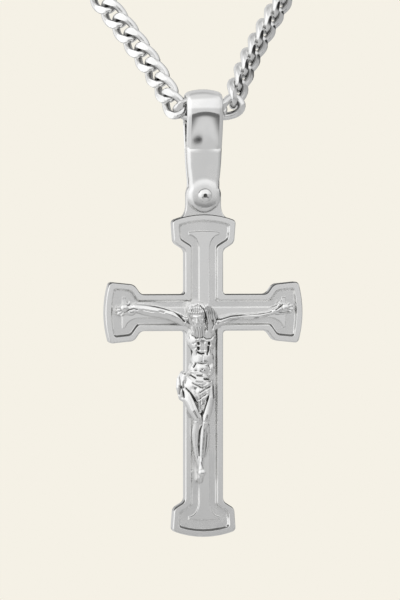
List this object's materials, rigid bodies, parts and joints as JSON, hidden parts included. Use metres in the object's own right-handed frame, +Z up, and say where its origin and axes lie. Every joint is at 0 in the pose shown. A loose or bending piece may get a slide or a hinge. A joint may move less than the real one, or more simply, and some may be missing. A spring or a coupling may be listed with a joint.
{
  "type": "crucifix pendant on a curb chain",
  "caption": "Flat cross with flared ends and a small figure, riveted to a folded bail that rides on a closed neck chain with a ring clasp.",
  "frame": {"origin": "middle of the clasp's ring, where the chain lies on the nape", "axes": "+Z up, -Y to the front of the pendant, +X to the right of someone who looks at the pendant"},
  "size_m": [0.1306, 0.1127, 0.1609],
  "materials": {
    "chain": "polished silver with flat cut faces",
    "clasp": "polished silver",
    "bail": "polished silver",
    "cross": "polished rim and rib, satin field",
    "figure": "cast and bright polished silver"
  },
  "bodies": {
    "neck_chain": {"chain_left": "chain", "chain_right": "chain", "clasp": "clasp", "end_ring_left": "clasp", "end_ring_right": "clasp"},
    "hanger": {"bail": "bail", "rivet": "bail"},
    "crucifix": {"cross": "cross", "corpus": "figure", "nail_left": "figure", "nail_right": "figure", "nail_feet": "figure"}
  },
  "joints": [
    {"name": "bail_swing", "type": "hinge", "parent": "neck_chain", "child": "hanger", "pos_m": [0, -0.107, -0.106], "axis": [1, 0, 0], "range_deg": [-80, 80]},
    {"name": "cross_swing", "type": "hinge", "parent": "hanger", "child": "crucifix", "pos_m": [0, -0.107, -0.1164], "axis": [0, 1, 0], "range_deg": [-85, 85]}
  ]
}
